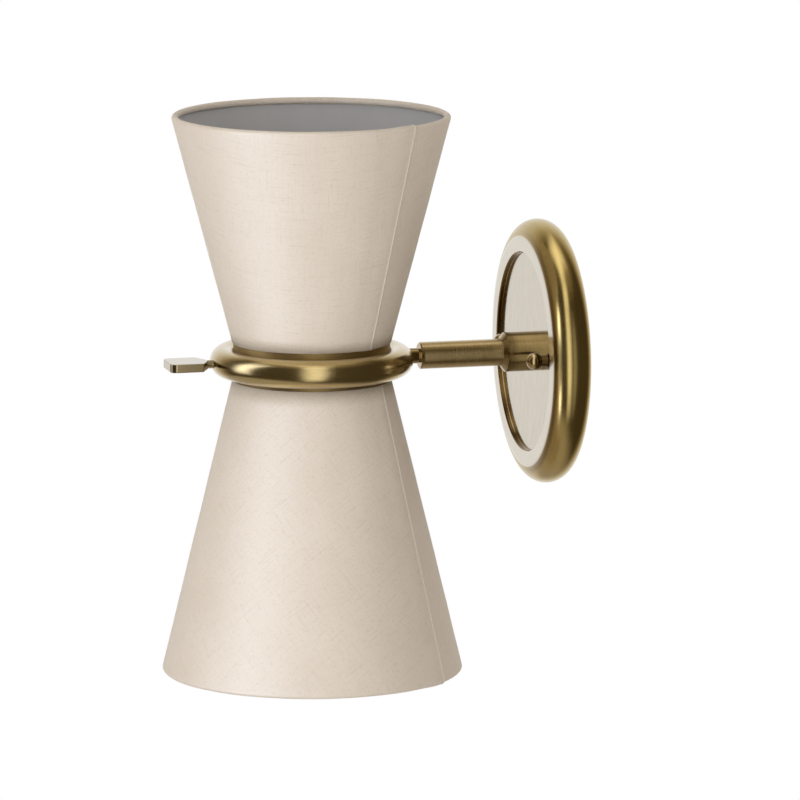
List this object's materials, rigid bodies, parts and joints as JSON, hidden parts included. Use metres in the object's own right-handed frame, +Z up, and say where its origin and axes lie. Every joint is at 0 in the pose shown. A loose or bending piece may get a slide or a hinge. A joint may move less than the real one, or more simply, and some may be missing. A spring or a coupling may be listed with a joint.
{
  "type": "wall sconce",
  "caption": "Up-and-down wall light: conical linen shades meet at a brass ring on a short arm from a round back plate, with a flat switch key in front.",
  "frame": {"origin": "on the wall plane, at the middle of the back plate and of the two wall screw holes", "axes": "+Y into the wall, -Y out from the wall along the arm, +Z up along the shades"},
  "size_m": [0.1436, 0.194, 0.268],
  "materials": {
    "satin_brass": "satin antique brass, brushed",
    "polished_brass": "polished antique brass",
    "plain_brass": "plain turned brass",
    "zinc_steel": "zinc plated",
    "white_wire": "white powder coat",
    "linen": "off-white slubbed linen",
    "shade_liner": "grey lampshade film",
    "opal_glass": "opal",
    "bulb_metal": "rolled screw base",
    "holder_plastic": "moulded white",
    "switch_plastic": "moulded black",
    "lead_sleeve": "insulated lead",
    "earth_green": "green passivated"
  },
  "bodies": {
    "wall_mount": {"back_plate": "satin_brass", "mounting_strap": "zinc_steel", "earth_screw": "earth_green", "strap_studs": "zinc_steel", "stud_nuts": "zinc_steel", "knob_nuts": "satin_brass", "hub_collar": "satin_brass", "hub_nipple": "plain_brass", "hub_washer": "zinc_steel", "hub_nut": "zinc_steel", "arm_tube": "satin_brass", "arm_end_bush": "satin_brass"},
    "head": {"arm_leads": "lead_sleeve", "gallery_nuts": "zinc_steel", "gallery_screws": "zinc_steel", "lamp_bridge": "zinc_steel", "lamp_leads": "lead_sleeve", "lamp_nipple": "plain_brass", "lower_bulb_base": "bulb_metal", "lower_bulb_globe": "opal_glass", "lower_contact": "plain_brass", "lower_gallery": "polished_brass", "lower_lampholder": "holder_plastic", "lower_shade_cloth": "linen", "lower_shade_fitter": "white_wire", "lower_shade_liner": "shade_liner", "lower_shade_nut": "holder_plastic", "lower_shade_rim_wire": "white_wire", "lower_socket_shell": "plain_brass", "nipple_nuts": "zinc_steel", "spring_washer": "zinc_steel", "stem_nut": "zinc_steel", "stop_washer": "zinc_steel", "switch_body": "switch_plastic", "switch_cover": "switch_plastic", "switch_terminals": "plain_brass", "swivel_stem": "satin_brass", "upper_bulb_base": "bulb_metal", "upper_bulb_globe": "opal_glass", "upper_contact": "plain_brass", "upper_gallery": "polished_brass", "upper_lampholder": "holder_plastic", "upper_shade_cloth": "linen", "upper_shade_fitter": "white_wire", "upper_shade_liner": "shade_liner", "upper_shade_nut": "holder_plastic", "upper_shade_rim_wire": "white_wire", "upper_socket_shell": "plain_brass", "waist_ring": "polished_brass"},
    "key": {"switch_key": "satin_brass", "switch_rotor": "switch_plastic"}
  },
  "joints": [
    {"name": "head_swivel", "type": "hinge", "parent": "wall_mount", "child": "head", "pos_m": [0, -0.0694, 0], "axis": [0, 1, 0], "range_deg": [-45, 45]},
    {"name": "key_turn", "type": "hinge", "parent": "head", "child": "key", "pos_m": [0, -0.1708, 0], "axis": [0, 1, 0], "range_deg": [0, 90]}
  ]
}
